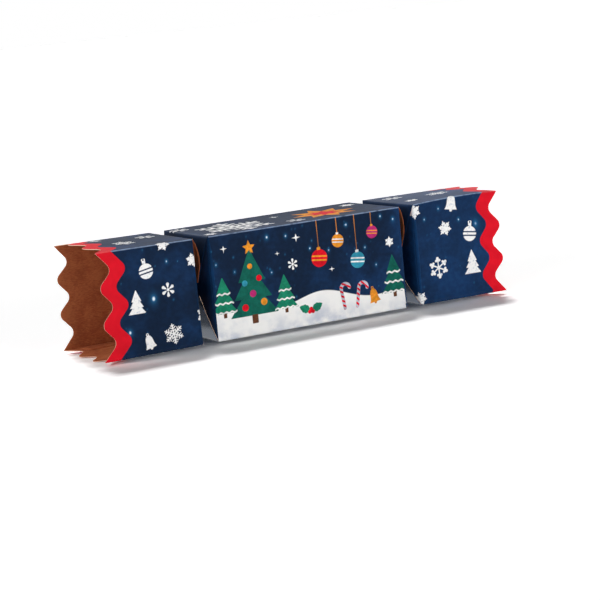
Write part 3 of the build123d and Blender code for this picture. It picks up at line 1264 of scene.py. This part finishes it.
class CRACKER_OT_stage(Operator):
    """Set the pale floor, the soft light and the camera"""

    bl_idname = "cracker.stage"
    bl_label = "Stage"

    def camera(self, scene, stage):
        """Camera at a distance from its target, turned by azimuth, elevation and roll."""
        a = radians(stage.azimuth)
        away = direction(stage.azimuth, stage.elevation)
        right = Vector((cos(a), sin(a), 0))
        up = away.cross(right)
        target = Vector((stage.target_x, -scene.cracker_sizes.section / 2, stage.target_z))
        level = Matrix((right, up, away)).transposed().to_4x4()
        data = bpy.data.cameras.new("camera")
        data.lens = stage.lens
        data.sensor_width = SENSOR
        data.sensor_fit = "HORIZONTAL"
        camera = bpy.data.objects.new("camera", data)
        roll = Matrix.Rotation(radians(stage.roll), 4, "Z")
        camera.matrix_world = Matrix.Translation(target + away * stage.distance) @ level @ roll
        scene.collection.objects.link(camera)
        scene.camera = camera

    def lamp(self, scene, name, kind, energy, toward, **settings):
        """Lamp a metre away in a direction, shining back."""
        data = bpy.data.lights.new(name, kind)
        data.energy = energy
        for label, value in settings.items():
            setattr(data, label, value)
        lamp = bpy.data.objects.new(name, data)
        lamp.rotation_mode = "QUATERNION"
        lamp.rotation_quaternion = toward.to_track_quat("Z", "Y")
        lamp.location = toward
        scene.collection.objects.link(lamp)
        return lamp

    def lamps(self, scene, stage):
        """Three suns that turn with the camera, and a soft narrow lamp on a place inside the left mouth."""
        for name, (turn, elevation, size) in SUNS.items():
            toward = direction(stage.azimuth + turn, elevation)
            self.lamp(scene, name, "SUN", getattr(stage, name), toward, angle=radians(size))
        toward = direction(MOUTH_TURN, MOUTH_HEIGHT)
        lamp = self.lamp(scene, "mouth", "SPOT", stage.mouth, toward, spot_size=radians(MOUTH_CONE),
                         spot_blend=MOUTH_BLEND, shadow_soft_size=MOUTH_SIZE)
        lamp.location = Vector((cad_box[0][0] + MOUTH_DEPTH, 0, 0)) + MOUTH_DISTANCE * toward

    def floor(self, scene):
        """Wide pale plane under the bowed bottom, brighter to the camera and white in reflections."""
        mesh = bpy.data.meshes.new("floor")
        ways = ((-1, -1), (1, -1), (1, 1), (-1, 1))
        corners = [(FLOOR_SIZE * x, FLOOR_SIZE * y, -FLOOR_DROP) for x, y in ways]
        mesh.from_pydata(corners, [], [(0, 1, 2, 3)])
        material = bpy.data.materials.new("pale_floor")
        material.use_nodes = True
        tree = material.node_tree
        tree.nodes.clear()
        path = add_node(tree, "LightPath").outputs
        pale = mix(tree, path["Is Camera Ray"], (*[FLOOR_GREY] * 3, 1), (*[FLOOR_SEEN] * 3, 1))
        matt = add_node(tree, "BsdfDiffuse", {"Color": pale}).outputs[0]
        white = add_node(tree, "Emission", {"Color": WHITE, "Strength": 1.0}).outputs[0]
        mirrored_white = add_node(tree, "MixShader", {0: path["Is Glossy Ray"], 1: matt, 2: white}).outputs[0]
        add_node(tree, "OutputMaterial", {"Surface": mirrored_white})
        mesh.materials.append(material)
        floor = bpy.data.objects.new("floor", mesh)
        scene.collection.objects.link(floor)

    def world(self, scene, strength):
        """White to the camera and in reflections, a plain even light to everything else."""
        world = scene.world or bpy.data.worlds.new("world")
        scene.world = world
        world.use_nodes = True
        tree = world.node_tree
        tree.nodes.clear()
        path = add_node(tree, "LightPath").outputs
        seen = path["Is Camera Ray"]
        for other in ("Is Glossy Ray", "Is Transmission Ray"):
            seen = calculate(tree, "MAXIMUM", seen, path[other])
        light = add_node(tree, "Background", {"Color": WHITE, "Strength": strength}).outputs[0]
        white = add_node(tree, "Background", {"Color": WHITE, "Strength": 1.0}).outputs[0]
        mixed = add_node(tree, "MixShader", {0: seen, 1: light, 2: white}).outputs[0]
        add_node(tree, "OutputWorld", {"Surface": mixed})

    def execute(self, context):
        scene = context.scene
        stage = scene.cracker_stage
        scene.view_settings.view_transform = "Standard"
        self.floor(scene)
        self.world(scene, stage.sky)
        self.lamps(scene, stage)
        self.camera(scene, stage)
        return {"FINISHED"}


OPERATORS = (CRACKER_OT_panels, CRACKER_OT_folds, CRACKER_OT_bends, CRACKER_OT_flaps, CRACKER_OT_stage)
PROPERTY_GROUPS = {
    "cracker_sizes": CrackerSizes, "cracker_colours": CrackerColours, "cracker_stage": CrackerStage,
}


class CRACKER_PT_sidebar(Panel):
    """Buttons and values of the cracker"""

    bl_idname = "CRACKER_PT_sidebar"
    bl_label = "Christmas Cracker"
    bl_space_type = "VIEW_3D"
    bl_region_type = "UI"
    bl_category = "Cracker"

    def draw(self, context):
        for operator in OPERATORS:
            self.layout.operator(operator.bl_idname)
        for group in PROPERTY_GROUPS:
            column = self.layout.column()
            for name in PROPERTY_GROUPS[group].__annotations__:
                column.prop(getattr(context.scene, group), name)


CLASSES = (*PROPERTY_GROUPS.values(), *OPERATORS, CRACKER_PT_sidebar)


def register():
    for item in CLASSES:
        bpy.utils.register_class(item)
    for name, item in PROPERTY_GROUPS.items():
        setattr(bpy.types.Scene, name, PointerProperty(type=item))


def unregister():
    for name in PROPERTY_GROUPS:
        delattr(bpy.types.Scene, name)
    for item in reversed(CLASSES):
        bpy.utils.unregister_class(item)


def main():
    register()
    bpy.ops.cracker.panels()
    bpy.ops.cracker.folds()
    bpy.ops.cracker.bends()
    bpy.ops.cracker.flaps()
    bpy.ops.cracker.stage()


if __name__ == "__main__":
    main()
